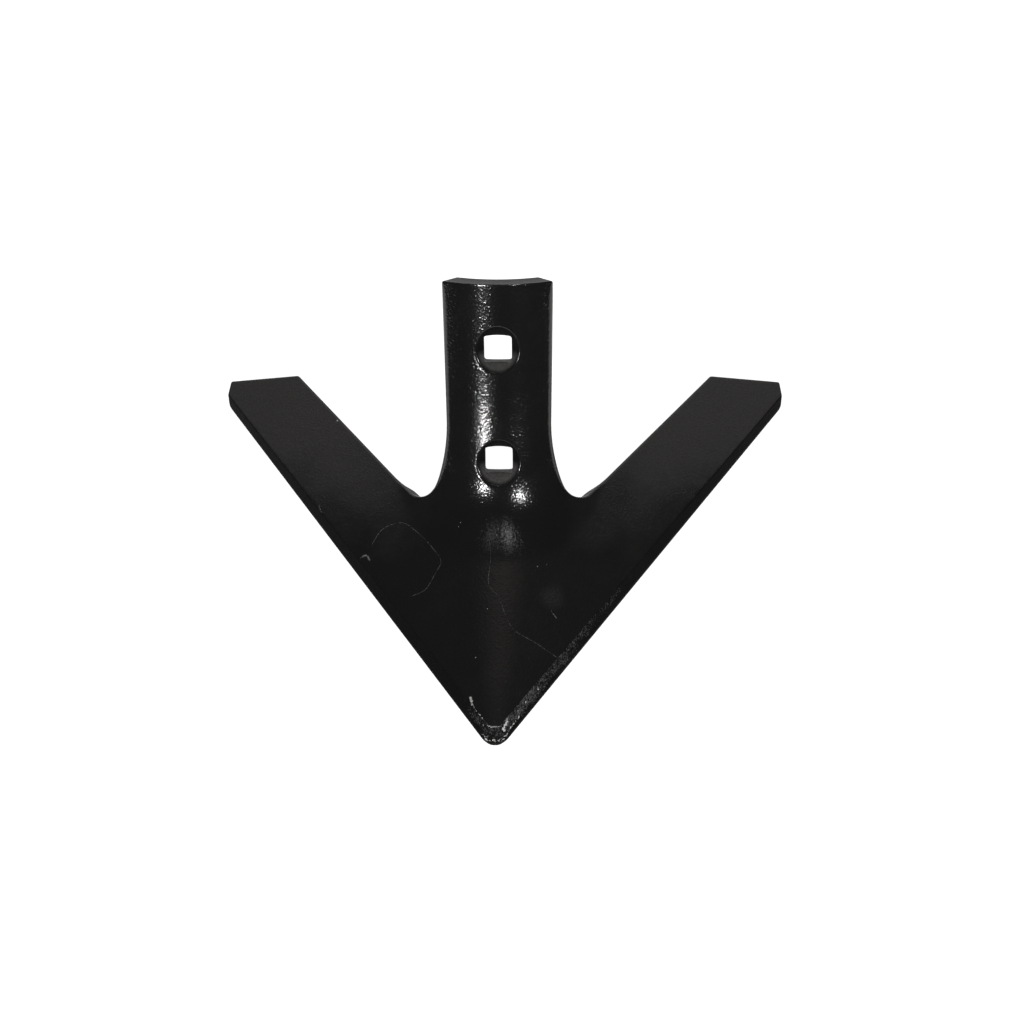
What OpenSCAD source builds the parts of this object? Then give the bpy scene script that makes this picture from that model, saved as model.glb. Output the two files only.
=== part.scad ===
// Cultivator sweep: one steel plate, blanked to a V with a stem, then pressed to shape.
// Two flat wings meet in a rounded ridge, and the ridge turns up into a crowned stem with two
// square bolt holes. X is across the sweep, +Y is to the rear and +Z is up. The sweep stands
// on its two cutting edges, and the origin is under the middle of its box.

/* [Blade] */
// Width across the wing tips
sweep_w = 228.6; // [180:0.1:300]
// Angle between the two cutting edges, seen from above
point_angle = 71; // [60:0.5:80]
// Lift of each wing, square to its cutting edge
wing_lift = 10; // [7:0.5:14]
// Thickness of the plate
plate_t = 7; // [5:0.1:9]
// Length of each wing tip's outer side, along the direction of travel
tip_side_l = 9; // [5:0.1:16]
// How far each wing tip's outer side leans in over that length
tip_taper = 1.3; // [0:0.1:3]
// Length of the square cut behind each wing tip
tip_rear_w = 28.6; // [22:0.1:40]
// Radius of the nose at the ground
nose_r = 6; // [4:0.5:12]
// Half of the rounded ridge's width at the nose
ridge_nose_w = 4; // [2:0.5:8]
// Half of the rounded ridge's width where the stem begins
ridge_bend_w = 16; // [8:0.5:24]

/* [Cutting edge] */
// Thickness left at the blunt cutting edge
edge_t = 2.5; // [1:0.1:4]
// Width of the top bevel at the nose
bevel_nose_w = 4.5; // [2:0.1:6]
// Width of the top bevel at the wing tips
bevel_tip_w = 2; // [1:0.1:6]

/* [Stem] */
// Angle of the stem to the ground
stem_angle = 53; // [45:0.5:60]
// Width of the stem at its top end
stem_top_w = 42; // [36:0.5:48]
// Width of the stem at its waist, above the throats
stem_waist_w = 40.5; // [36:0.5:48]
// Radius of the stem's crowned front
crown_r = 42; // [36:0.5:60]
// How much the stem's back is narrower at each side than a square-cut edge makes it
side_slant = 2; // [0:0.1:3]
// Distance from the cutting point to the corner of the bend, along the ground
bend_y = 94.5; // [85:0.5:105]
// Radius of the bend between the ridge and the stem
bend_r = 40; // [25:1:50]

/* [Throats] */
// Distance between the deepest points of the two throats
throat_w = 63; // [58:0.5:76]
// How far the throats lie behind the corner of the bend
throat_back = 12.4; // [8:0.1:18]
// Radius of each throat
throat_r = 6; // [4:0.5:9]
// Radius of the long curve from a throat into the stem's side
flare_r = 60; // [40:1:90]

/* [Bolt holes] */
// Distance from the corner of the bend to the lower hole, along the stem
hole_rise = 23.5; // [20:0.5:32]
// Distance between the two holes
hole_spacing = 44.45; // [40:0.05:60]
// Distance from the upper hole to the stem's top end
hole_top_gap = 26.2; // [18:0.1:40]
// Side of each square hole
hole_side = 11; // [8:0.1:14]
// Radius of the square holes' corners
hole_corner_r = 1; // [0.4:0.1:2]
// Diameter of each countersink on the stem's middle line
sink_d = 19.2; // [16:0.1:24]
// Full angle of each countersink
sink_angle = 100; // [80:1:110]

/* [Hidden] */
$fn = 64;

// Numbers of cells that the plate's curved faces are divided into
inner_cells = 12; // across half of the stem
nose_cells = 5; // of those, round half of the nose
throat_cells = 4; // round a throat, on the wing's side
trail_cells = 6; // along a wing's trailing edge
tip_cells = 1; // along the cut behind a tip
blade_rows = 16; // from a bevel to the stem or the trailing edge
throat_rows = 6; // round a throat, on the stem's side
flare_rows = 8; // along the long curve above a throat
stem_rows = 3; // along the straight stem

// Powers by which rows crowd towards the stem, and trailing columns towards the throat
row_crowding = 1.8;
trail_crowding = 2;
// Step used to measure the slope of the surface
probe = 0.01;
// Length by which a cutting tool passes through a face
overcut = 2;
// How far a countersink's cone runs on inside its square hole
sink_overlap = 0.5;

// The wings are the planes z = wing_rise * y - wing_fall * |x|, raised by the plate's thickness.
half_angle = point_angle / 2;
wing_rise = tan(wing_lift) * sin(half_angle);
wing_fall = tan(wing_lift) * cos(half_angle);
ridge_angle = atan(wing_rise);

// Ridge and stem meet at the bend's corner. Across it lies a tilted frame, in which v runs along
// the bend and w stands square to it, so that the ridge falls and the stem rises by half_turn.
bend_z = plate_t / cos(wing_lift) + wing_rise * bend_y;
mean_angle = (stem_angle + ridge_angle) / 2;
half_turn = (stem_angle - ridge_angle) / 2;
bend_depth = 2 * bend_r * pow(tan(half_turn), 2);
side_fall = wing_fall * cos(ridge_angle) / cos(half_turn);

// The cutting edge on the ground, and the same edge carried up square to the wing
edge_lean = plate_t * sin(wing_lift);
nose_y = nose_r / sin(half_angle);
edge_r = nose_r + edge_lean;

// Direction into the plate from the straight cutting edge, and the same step taken along a tip's side
edge_inward = [-cos(half_angle), sin(half_angle)];
tip_side = [-tip_taper, tip_side_l];
tip_inward = tip_side / along(tip_side, edge_inward);

// Corners of the right wing tip. The sweep is widest where the bevel ends on the tip's side.
tip_x = sweep_w / 2 - tip_inward[0] * bevel_tip_w;
tip_y = (tip_x * cos(half_angle) - edge_lean) / sin(half_angle);
outer_tip_x = tip_x - tip_taper;
inner_tip_x = outer_tip_x - tip_rear_w;
tip_rear_y = tip_y + tip_side_l;

stem_l = hole_rise + hole_spacing + hole_top_gap;
waist = stem_waist_w / 2;

// Plain helpers
function unit(a) = a / norm(a);
function mix(a, b, share) = a + (b - a) * share;
function clamp01(a) = max(0, min(1, a));
function along(a, b) = a[0] * b[0] + a[1] * b[1];

// Place in the tilted frame, along v, of a point of the right wing that is given seen from above
function wing_v(p) =
    (p[1] - bend_y) * (cos(mean_angle) + wing_rise * sin(mean_angle)) - wing_fall * p[0] * sin(mean_angle);
function wing_point(p) = [p[0], wing_v(p)];

// Size of x with its corner at the ridge rounded off over a half-width
function round_abs(x, half_w) = abs(x) > half_w ? abs(x) : (x * x + half_w * half_w) / (2 * half_w);

// How far the crowned front lies behind its middle line. Past the crown it goes straight on.
crown_share = 0.93;
crown_limit = crown_share * crown_r;
crown_limit_drop = crown_r - sqrt(crown_r * crown_r - crown_limit * crown_limit);
crown_limit_slope = crown_limit / sqrt(crown_r * crown_r - crown_limit * crown_limit);
function crown_drop(x) =
    abs(x) < crown_limit
        ? crown_r - sqrt(crown_r * crown_r - x * x)
        : crown_limit_drop + (abs(x) - crown_limit) * crown_limit_slope;

// Higher of two faces, with the valley between them filled by a curve
function filled_max(a, b, depth) =
    let (short = max(0, depth - abs(a - b)))
    max(a, b) + short * short / (4 * depth);

// Top face of the plate: the wings and their ridge, the crowned stem, and the bend between them
nose_v = wing_v([0, nose_y - edge_r]);
function ridge_half_w(v) = mix(ridge_nose_w, ridge_bend_w, clamp01((v - nose_v) / -nose_v));
function wing_face(x, v) = -v * tan(half_turn) - side_fall * round_abs(x, ridge_half_w(v));
function stem_face(x, v) = v * tan(half_turn) - crown_drop(x) / cos(half_turn);
function top_point(x, v) =
    let (w = filled_max(wing_face(x, v), stem_face(x, v), bend_depth))
    [
        x,
        bend_y + v * cos(mean_angle) - w * sin(mean_angle),
        bend_z + v * sin(mean_angle) + w * cos(mean_angle),
    ];
function top_normal(x, v) =
    let (across = top_point(x + probe, v) - top_point(x - probe, v))
    let (lengthwise = top_point(x, v + probe) - top_point(x, v - probe))
    unit(cross(across, lengthwise));
function sunk_point(p, depth) = top_point(p[0], p[1]) - depth * top_normal(p[0], p[1]);

// Cutting edge of the right wing, seen from above: round the nose, then straight to the tip
function edge_nose(turn) = [edge_r * sin(turn), nose_y - edge_r * cos(turn)];
edge_start = edge_nose(90 - half_angle);
edge_end = [tip_x, tip_y];
edge_run = unit(edge_end - edge_start);
edge_l = norm(edge_end - edge_start);
function edge_foot(p) = along(p - edge_start, edge_run);
function bevel_w(run) = mix(bevel_nose_w, bevel_tip_w, clamp01(run / edge_l));

// Throat: a small arc whose lowest point is its deepest, in the x and v of the tilted frame
throat_x = throat_w / 2;
throat_plan = [throat_x, bend_y + throat_back];
throat_v = wing_v(throat_plan);
throat_hub = [throat_x, throat_v + throat_r];
function throat_point(turn) = throat_hub + throat_r * [sin(turn), -cos(turn)];

// Trailing edge: from the inner corner of the tip, tangent to the throat
inner_tip = wing_point([inner_tip_x, tip_rear_y]);
outer_tip = wing_point([outer_tip_x, tip_rear_y]);
hub_to_tip = inner_tip - throat_hub;
trail_turn = 90 + atan2(hub_to_tip[1], hub_to_tip[0]) - acos(throat_r / norm(hub_to_tip));
trail_start = throat_point(trail_turn);

// Stem's side: round the throat, along the long curve to the waist, then straight to the top
flare_turn = asin((flare_r - (throat_x - waist)) / (flare_r - throat_r));
flare_hub = throat_hub + (flare_r - throat_r) * [sin(flare_turn), cos(flare_turn)];
function flare_point(turn) = flare_hub - flare_r * [sin(turn), cos(turn)];
function stem_reach(p) = (p[1] - crown_drop(p[0]) * sin(half_turn)) / cos(half_turn);
function stem_v(x, reach) = reach * cos(half_turn) + crown_drop(x) * sin(half_turn);
waist_reach = stem_reach(flare_point(90));

// Rows of the stem, each as its half-width and its reach from the bend's corner
throat_edge = [for (i = [0 : throat_rows]) throat_point(-flare_turn * i / throat_rows)];
flare_edge = [for (i = [1 : flare_rows]) flare_point(mix(flare_turn, 90, i / flare_rows))];
curved_rows = [for (p = concat(throat_edge, flare_edge)) [p[0], stem_reach(p)]];
straight_rows = [
    for (i = [1 : stem_rows])
        [mix(waist, stem_top_w / 2, i / stem_rows), mix(waist_reach, stem_l, i / stem_rows)]
];
side_rows = concat(curved_rows, straight_rows);
throat_reach = side_rows[0][1];

// Columns of the right half, from the ridge to the tip: each has a foot on the cutting edge with
// the inward direction there, and a head on the stem's base, the throat, the trailing edge or the tip
throat_run = edge_foot(throat_plan);
trail_run = edge_foot([trail_start[0], bend_y + throat_back + (trail_start[1] - throat_v)]);
tip_run = edge_foot([inner_tip_x, tip_rear_y]);
line_cells = inner_cells - nose_cells;
function trail_share(i) = pow(i / trail_cells, trail_crowding);
foot_runs = concat(
    [for (i = [1 : line_cells]) throat_run * i / line_cells],
    [for (i = [1 : throat_cells]) mix(throat_run, trail_run, i / throat_cells)],
    [for (i = [1 : trail_cells]) mix(trail_run, tip_run, trail_share(i))],
    [for (i = [1 : tip_cells]) mix(tip_run, edge_l, i / tip_cells)]
);
nose_turns = [for (i = [0 : nose_cells]) (90 - half_angle) * i / nose_cells];
feet = concat([for (t = nose_turns) edge_nose(t)], [for (r = foot_runs) edge_start + edge_run * r]);
inward = concat(
    [for (t = nose_turns) [-sin(t), cos(t)]],
    [for (i = [2 : len(foot_runs)]) edge_inward],
    [tip_inward]
);
bevels = concat([for (t = nose_turns) bevel_nose_w], [for (r = foot_runs) bevel_w(r)]);
heads = concat(
    [for (i = [0 : inner_cells]) let (x = throat_x * i / inner_cells) [x, stem_v(x, throat_reach)]],
    [for (i = [1 : throat_cells]) throat_point(trail_turn * i / throat_cells)],
    [for (i = [1 : trail_cells]) mix(trail_start, inner_tip, trail_share(i))],
    [for (i = [1 : tip_cells]) mix(inner_tip, outer_tip, i / tip_cells)]
);
last_column = len(feet) - 1;

// Rows crowd towards the stem, where the blade bends
function row_share(i) = 1 - pow(1 - (i - 1) / (blade_rows - 1), row_crowding);
function blade_place(i, j) =
    i == 0
        ? wing_point(feet[j])
        : mix(wing_point(feet[j] + inward[j] * bevels[j]), heads[j], row_share(i));
function stem_place(k, j) =
    let (x = side_rows[k][0] * j / inner_cells)
    [x, stem_v(x, side_rows[k][1])];

// The stem's back draws in at its sides by the slant, from the throats up to the waist
function slant_share(k) = clamp01((side_rows[k][1] - throat_reach) / (waist_reach - throat_reach));
function back_place(k, j) =
    let (x = (side_rows[k][0] - side_slant * slant_share(k)) * j / inner_cells)
    [x, stem_v(x, side_rows[k][1])];

// Corner points of the right half, rising to the rear, and the whole plate made by mirroring them
function mirrored(p, side) = [p[0] * side, p[1], p[2]];
function full_row(half, width) =
    [for (j = [-width : width]) mirrored(half[abs(j)], j < 0 ? -1 : 1)];
last_stem_row = len(side_rows) - 1;
front_points = concat(
    [
        for (i = [0 : blade_rows])
            each full_row(
                [for (j = [0 : last_column]) sunk_point(blade_place(i, j), i == 0 ? plate_t - edge_t : 0)],
                last_column
            )
    ],
    [
        for (k = [1 : last_stem_row])
            each full_row([for (j = [0 : inner_cells]) sunk_point(stem_place(k, j), 0)], inner_cells)
    ]
);
back_points = concat(
    [
        for (i = [0 : blade_rows])
            each full_row([for (j = [0 : last_column]) sunk_point(blade_place(i, j), plate_t)], last_column)
    ],
    [
        for (k = [1 : last_stem_row])
            each full_row([for (j = [0 : inner_cells]) sunk_point(back_place(k, j), plate_t)], inner_cells)
    ]
);
plate_points = concat(front_points, back_points);
back_start = len(front_points);

// Numbers of the points: the blade's rows first, then the stem's rows, which start on the blade's last
blade_wide = 2 * last_column + 1;
stem_wide = 2 * inner_cells + 1;
stem_start = (blade_rows + 1) * blade_wide;
function blade_index(i, j) = i * blade_wide + j + last_column;
function stem_index(k, j) =
    k == 0 ? blade_index(blade_rows, j) : stem_start + (k - 1) * stem_wide + j + inner_cells;

// Faces: two triangles to a cell, the same cells in reverse on the back, and a band round the rim
function cell(a, b, c, d) = [[a, d, c], [a, c, b]];
front_faces = concat(
    [
        for (i = [0 : blade_rows - 1], j = [-last_column : last_column - 1])
            each cell(
                blade_index(i, j),
                blade_index(i, j + 1),
                blade_index(i + 1, j + 1),
                blade_index(i + 1, j)
            )
    ],
    [
        for (k = [0 : last_stem_row - 1], j = [-inner_cells : inner_cells - 1])
            each cell(
                stem_index(k, j),
                stem_index(k, j + 1),
                stem_index(k + 1, j + 1),
                stem_index(k + 1, j)
            )
    ]
);
back_faces = [for (f = front_faces) [f[0] + back_start, f[2] + back_start, f[1] + back_start]];
rim = concat(
    [for (j = [-last_column : last_column]) blade_index(0, j)],
    [for (i = [1 : blade_rows]) blade_index(i, last_column)],
    [for (j = [last_column - 1 : -1 : inner_cells]) blade_index(blade_rows, j)],
    [for (k = [1 : last_stem_row]) stem_index(k, inner_cells)],
    [for (j = [inner_cells - 1 : -1 : -inner_cells]) stem_index(last_stem_row, j)],
    [for (k = [last_stem_row - 1 : -1 : 0]) stem_index(k, -inner_cells)],
    [for (j = [-inner_cells - 1 : -1 : -last_column]) blade_index(blade_rows, j)],
    [for (i = [blade_rows - 1 : -1 : 1]) blade_index(i, -last_column)]
);
rim_faces = [
    for (n = [0 : len(rim) - 1])
        let (a = rim[n], b = rim[(n + 1) % len(rim)])
        each cell(a + back_start, b + back_start, b, a)
];

// The sweep stands on its lowest points, with the middle of its box over the origin
seat_y = -(min([for (p = plate_points) p[1]]) + max([for (p = plate_points) p[1]])) / 2;
seat_z = -min([for (p = plate_points) p[2]]);

module pressed_plate() {
    polyhedron(plate_points, concat(front_faces, back_faces, rim_faces), convexity = 6);
}

module rounded_square(side, corner_r) {
    inset = side / 2 - corner_r;
    square([side, side - 2 * corner_r], center = true);
    square([side - 2 * corner_r, side], center = true);
    for (x = [-inset, inset], y = [-inset, inset]) {
        translate([x, y]) circle(corner_r);
    }
}

// Square hole for a plough bolt's neck, with the round countersink for its head
module bolt_hole() {
    flare = tan(sink_angle / 2);
    sink_depth = (sink_d - hole_side) / 2 / flare + sink_overlap;
    translate([0, 0, -plate_t - overcut]) {
        linear_extrude(plate_t + 2 * overcut) rounded_square(hole_side, hole_corner_r);
    }
    translate([0, 0, -sink_depth]) {
        cylinder(
            h = sink_depth + overcut,
            r1 = sink_d / 2 - sink_depth * flare,
            r2 = sink_d / 2 + overcut * flare
        );
    }
}

module sweep() {
    color("#1c1c1d")
        translate([0, seat_y, seat_z])
            difference() {
                pressed_plate();
                translate([0, bend_y, bend_z]) {
                    rotate([stem_angle, 0, 0]) {
                        for (rise = [hole_rise, hole_rise + hole_spacing]) {
                            translate([0, rise, 0]) bolt_hole();
                        }
                    }
                }
            }
}

sweep();
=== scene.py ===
"""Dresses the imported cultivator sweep: a pressed plate with rounded rims, worn paint and studio light.

The plate's surface is computed from the same sizes as the part's solid, in millimetres, and then scaled to
metres. Places on the plate are given as (x, v): across, and up a plane that leans halfway between the ridge
and the stem. Points seen from above are given across and back, from the point where the edges would meet.
"""

import math

import bpy
import numpy as np
from mathutils import Matrix
from mathutils.geometry import delaunay_2d_cdt


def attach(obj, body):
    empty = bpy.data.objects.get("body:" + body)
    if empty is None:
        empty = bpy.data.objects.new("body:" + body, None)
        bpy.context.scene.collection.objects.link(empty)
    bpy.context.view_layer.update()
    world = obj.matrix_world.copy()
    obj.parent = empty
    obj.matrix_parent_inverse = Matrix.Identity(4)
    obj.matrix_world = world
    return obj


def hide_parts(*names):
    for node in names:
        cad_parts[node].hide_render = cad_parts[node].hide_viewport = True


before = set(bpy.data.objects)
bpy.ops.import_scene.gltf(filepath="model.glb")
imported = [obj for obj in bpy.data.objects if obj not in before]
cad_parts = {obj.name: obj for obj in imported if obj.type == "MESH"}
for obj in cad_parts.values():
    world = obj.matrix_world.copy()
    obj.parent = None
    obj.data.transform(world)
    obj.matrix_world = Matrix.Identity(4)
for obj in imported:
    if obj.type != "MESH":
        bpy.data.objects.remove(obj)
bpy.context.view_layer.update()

MM = 0.001

# Sizes of the sweep in millimetres and degrees, as in the part's source
SWEEP_W = 228.6
POINT_ANGLE = 71
WING_LIFT = 10
PLATE_T = 7
TIP_SIDE_L = 9
TIP_TAPER = 1.3
TIP_REAR_W = 28.6
NOSE_R = 6
RIDGE_NOSE_W = 4
RIDGE_BEND_W = 16
EDGE_T = 2.5
BEVEL_NOSE_W = 4.5
BEVEL_TIP_W = 2
STEM_ANGLE = 53
STEM_TOP_W = 42
STEM_WAIST_W = 40.5
CROWN_R = 42
CROWN_SHARE = 0.93
SIDE_SLANT = 2
BEND_Y = 94.5
BEND_R = 40
THROAT_W = 63
THROAT_BACK = 12.4
THROAT_R = 6
FLARE_R = 60
HOLE_RISE = 23.5
HOLE_SPACING = 44.45
HOLE_TOP_GAP = 26.2
HOLE_CORNER_R = 1
SINK_ANGLE = 100

# The holes are drawn a little smaller than the part's, with their coat of paint, as the photo shows them
HOLE_SIDE = 10.7
SINK_D = 18.4

# Slight hollow along the stem's front, which bends the highlights there
STEM_HOLLOW = 1.3
HOLLOW_START = 10

# Roundings that the worn and painted rims have, in millimetres
CUT_EDGE_R = 0.4
TIP_EDGE_R = 0.7
TRAIL_EDGE_R = 0.9
STEM_EDGE_R = 2.2
TOP_EDGE_R = 0.3
BACK_EDGE_R = 0.6
PLAN_CORNER_R = 0.9
LIP_REACH = 0.5
CREASE_HALF_W = 0.25

# Lips of the countersinks: the least width, what wear adds on the low side, and how far up the sides it goes
SINK_LIP = 0.4
SINK_LIP_WORN = 0.9
LIP_SPREAD = 0.5

# Scratches: half width, strength from 0 to 1, and points seen from above
SCRATCHES = (
    (0.24, 0.36, ((-50, 88), (-46, 94), (-38.5, 96), (-32, 91), (-26, 84), (-22.5, 78), (-24.5, 73),
                  (-28, 66.5), (-33, 64))),
    (0.22, 0.36, ((-3.5, 85), (-3, 77), (-3.5, 67), (0.5, 61), (3.5, 53), (7, 47.5), (15, 43), (23.5, 37.5))),
    (0.32, 0.62, ((-9, 18.5), (-7.5, 15.5), (-4.5, 11.5), (-2.5, 8.4), (-0.5, 7.8), (2.4, 8.2))),
    (0.5, 0.8, ((-3, 8.8), (-1.2, 7.9), (1, 7.9))),
    (0.75, 0.5, ((-53.7, 82.4), (-52.2, 82.8), (-50.9, 81))),
    (0.5, 0.5, ((-72.3, 105.5), (-71.4, 103.2))),
    (0.25, 0.5, ((20.8, 56.7), (22.8, 54))),
    (1.0, 1, ((3.3, 7.6), (4, 9.2), (4.8, 11.2))),
    (0.6, 0.7, ((5.1, 7), (7.6, 11.1), (10.1, 14.8))),
    (1.2, 0.57, ((-4.9, 6.2), (-3.2, 4.8), (-1.1, 4), (1.7, 4.1), (3.7, 5.1), (5.2, 6.7))),
)
GROOVE_DEPTH = 0.06

# Specks of bare metal: across, back, radius and strength, and how steeply they end
SPECKS = (
    (-15.1, 94, 0.3, 0.6), (-15.9, 92.3, 0.3, 0.5), (15.2, 75.3, 0.4, 0.5), (18.7, 76.4, 0.35, 0.4),
    (-3.7, 56.4, 0.35, 0.7), (-7.8, 36.4, 0.4, 0.6), (-67.2, 144.7, 0.6, 0.8), (-9, 18.7, 0.9, 1),
    (-9.3, 20, 0.8, 0.9), (-8.7, 17.4, 0.7, 0.9), (3.6, 7.9, 1.2, 1), (11.5, 19.2, 0.8, 0.7),
    (16.4, 25.3, 0.7, 0.6), (8.8, 15.3, 0.7, 0.55), (-3.6, 4.6, 0.7, 0.7), (-4.4, 9.2, 0.6, 0.5),
)
SPECK_STEEPNESS = 1.6

# Share of the bevel's paint that is chipped off, against the run along the cutting edge from the nose
CHIP_RUN_RIGHT = (0, 5, 12, 40, 75, 110)
CHIP_SHARE_RIGHT = (0.46, 0.54, 0.53, 0.49, 0.33, 0.05)
CHIP_RUN_LEFT = (0, 6, 14, 32)
CHIP_SHARE_LEFT = (0.46, 0.44, 0.3, 0)

# The chips thin out to this share at the very edge, rise within this part of the bevel, and fade past it
CHIP_EDGE_SHARE = 0.64
CHIP_RISE = (0.1, 0.5)
CHIP_FADE_W = 0.8

# Dull paint: the runs between which it comes on, which lean with the distance from the edge, its limits
# across and past the bevel, one small patch, the back, and painted light on the low side of the holes
DULL_RUN = (86, 182)
DULL_LEAN = 1.2
DULL_LEAN_W = 20
DULL_ACROSS = (22, 32)
DULL_PAST_BEVEL = (-0.4, 0.8)
DULL_PATCH = (21.2, 62.6)
DULL_PATCH_R = (1.5, 7)
DULL_PATCH_SHARE = 0.36
BACK_DULLNESS = 0.35
# The holes' walls are painted a lighter grey on their low side, for the light that falls into the
# countersinks
HOLE_PAINTED_LIGHT = 0.9
HOLE_PAINTED_LIGHT_SIDE = (0, 0.6)

# Fineness of the mesh, in millimetres
RIM_STEP = 0.8
FRONT_STEP = 1.3
NOSE_STEP = 0.6
NOSE_PATCH = 28
WEAR_STEP = 0.4
BACK_STEP = 2.2
PROBE = 0.01
MERGE_GAP = 1e-5
SLIVER = 1e-5

# Fineness of the mesh, in numbers of steps, rings, points and rounds
ROUND_STEPS = 4
LEAST_ARC_STEPS = 4
CORNER_STEPS = 5
CORNER_REACH = 6
CORNER_CUT = 3
SMOOTH_ROUNDS = 12
HOLE_STEPS = 96
CONE_RINGS = 4
PLACE_ROUNDS = 20
SINK_ROUNDS = 30
SPECK_STEPS = 8
NEAR_CHUNK = 1500

# Rings round a countersink, in shares of its lip, rows beside a scratch and rings round a speck
LIP_RINGS = (0.33, 0.67, 1, 1.5)
SCRATCH_ROWS = (-2, -1, 0, 1, 2)
SPECK_RINGS = (0.4, 1, 1.5)

# Kinds of surface, in the order of the mesh's materials, and how much of its corners the sheared end takes in
PAINT, SHEARED_END, BEVEL, MATT = 0, 1, 2, 3
SHEARED_CORNER = 1.1

# Numbers of the mix node's sockets for colours
MIX_SHARE, MIX_FIRST, MIX_SECOND, MIX_RESULT = 0, 6, 7, 2

# Patterns in the paint and metal: features to a metre, levels of detail, and strength of the finer levels
CLOUD = (60, 4.0, 0.6)
PEEL = (250, 1.0, 0.5)
CLUSTER = (260, 1.0, 0.5)
MATT_GRAIN = (1400, 3.0, 0.6)
GRAIN = (1450, 1.0, 0.5)
FLAKE = (1500, 3.0, 0.6)
SHEAR_GRAIN = (1800, 3.0, 0.6)
FINE = (2600, 2.0, 0.5)
NIB_SCALE = 750

# Heights of the patterns on the surface, in metres
PEEL_HEIGHT = 4e-05
GRAIN_HEIGHT = 4.6e-05
NIB_HEIGHT = 3e-05
FLAKE_HEIGHT = 1.2e-04
MATT_HEIGHT = 8e-05
SHEAR_HEIGHT = 6e-05

# Ranges that patterns and looks are moved from and to
WHOLE = (0, 1)
PATTERN_SPAN = (0.3, 0.7)
PATCHINESS = (-0.12, 0.12)
DULL_SPAN = (0.05, 0.95)
NIB_SPAN = (0, 0.4)
NIB_RISE = (1, 0)
SCRATCH_GRAIN_SPAN = (0.35, 0.6)
SCRATCH_GRAIN = (0.4, 1.5)
SCRATCH_PEEL_SPAN = (0.38, 0.58)
SCRATCH_PEEL = (0.6, 1.2)
SCRATCH_SPAN = (0.12, 0.45)
CLUSTER_SPAN = (0.35, 0.65)
CLUSTERING = (-0.05, 0.05)
CHIP_SPAN = (0.92, 1.15)
CHIP_BARENESS = (0, 0.42)
BEVEL_MARK_BREAKS = (-0.8, 0.15)
BEVEL_MARK_SPAN = (0.2, 0.45)
# The matt grey, dull paint on the wings' rims and painted light on the holes' low side, is broken up by grain
# within these
MATT_GREY_BREAK_SPAN = (0.3, 0.6)
MATT_GREY_BREAKS = (0.6, 1.2)

# Colours along a pattern, as places on it with what they show
GLOSSY_BLACKS = ((0.3, (0.0078, 0.0079, 0.008)), (0.7, (0.0107, 0.0102, 0.0099)))
DULL_BLACKS = ((0.3, (0.0148, 0.0133, 0.0129)), (0.7, (0.0312, 0.028, 0.0272)))
SCRATCH_METALS = ((0.3, (0.085, 0.083, 0.08)), (0.9, (0.62, 0.61, 0.6)))
GROUND_GREYS = ((0.3, (0.1, 0.1, 0.1)), (0.65, (0.42, 0.41, 0.4)))
SHEARED_GREYS = ((0.3, (0.09, 0.09, 0.09)), (0.7, (0.16, 0.16, 0.16)))

# Plain colours, with their opacity
BRIGHT_METAL = (0.75, 0.74, 0.72, 1)
MATT_BLACK = (0.008, 0.008, 0.008, 1)
# Grey of dull paint on the wings' rims, and painted light on the holes' low side
DULL_AND_PAINTED_LIGHT_GREY = (0.11, 0.107, 0.104, 1)
FLOOR_GREY = (0.8, 0.8, 0.8, 1)

# Roughness and mirroring of the surfaces
PAINT_ROUGHNESS = (0.13, 0.45)
SCRATCH_ROUGHNESS = (0, 0.5)
BEVEL_ROUGHNESS = 0.5
BEVEL_MIRRORING = 0.014
MATT_ROUGHNESS = 0.5
MATT_MIRRORING = 0.05
END_ROUGHNESS = 0.55

# Floor and room: the floor's glow where it is seen or mirrored, its half width, and the room's even light
FLOOR_GLOW = 0.86
FLOOR_HALF_W = 12.0
ROOM_LIGHT = 0.075

# The point, in metres, that the camera and the lamps on stands face
TARGET = np.array([0.0, 0.005, 0.025])

# Lamps on stands: name, azimuth and elevation in degrees, distance, width and height in metres, brightness
STANDING_LAMPS = (
    ("left_lamp", -19.7, 26.6, 2.0, 0.18, 0.18, 142),
    ("right_lamp", 23.7, 34.9, 2.0, 0.18, 0.18, 106),
    ("rear_lamp", 180, 40, 1.6, 2.4, 1.0, 1.2),
)

# Lamps that hang over the sweep: name, shape, place across and back, width, length, brightness and colour
WHITE = (1, 1, 1)
WARM = (1.0, 0.9, 0.84)
HANGING_HEIGHT = 1.2
HANGING_LAMPS = (
    ("left_strip", "RECTANGLE", -0.15, -0.25, 0.04, 0.34, 2.3, WHITE),
    ("left_strip_ends", "RECTANGLE", -0.15, -0.25, 0.04, 0.72, 0.9, WHITE),
    ("right_strip", "RECTANGLE", 0.095, -0.25, 0.04, 0.34, 7.8, WHITE),
    ("right_strip_ends", "RECTANGLE", 0.095, -0.25, 0.04, 0.72, 3.0, WHITE),
    ("inner_glow", "ELLIPSE", 0, 0.56, 0.4, 0.4, 0.3, WARM),
    ("outer_glow", "ELLIPSE", 0, 0.5, 0.7, 0.7, 0.06, WARM),
)

# The photograph's camera: degrees, metres, pixels of the picture, and the sensor's width in millimetres
PICTURE_W = 1024
CAMERA_AZIMUTH = 4.06
CAMERA_ELEVATION = 57.13
CAMERA_ROLL = -3.215
CAMERA_DISTANCE = 0.85
CAMERA_FOCAL = 2192.333
CAMERA_MIDDLE = (498.306, 514.868)
CAMERA_RANGE = (0.01, 100)
SENSOR_W = 36


def rad(angle):
    """Degrees in radians."""
    return math.radians(angle)


def along(a, b):
    """Sum of the products of two plane vectors' parts, for arrays too."""
    return a[..., 0] * b[0] + a[..., 1] * b[1]


def unit(a):
    """A vector of length one, or an array of them."""
    return a / np.linalg.norm(a, axis=-1, keepdims=True)


def eased(value, low, high):
    """A smooth rise from 0 to 1 as a value goes from low to high."""
    t = np.clip((value - low) / (high - low), 0, 1)
    return t * t * (3 - 2 * t)


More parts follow.
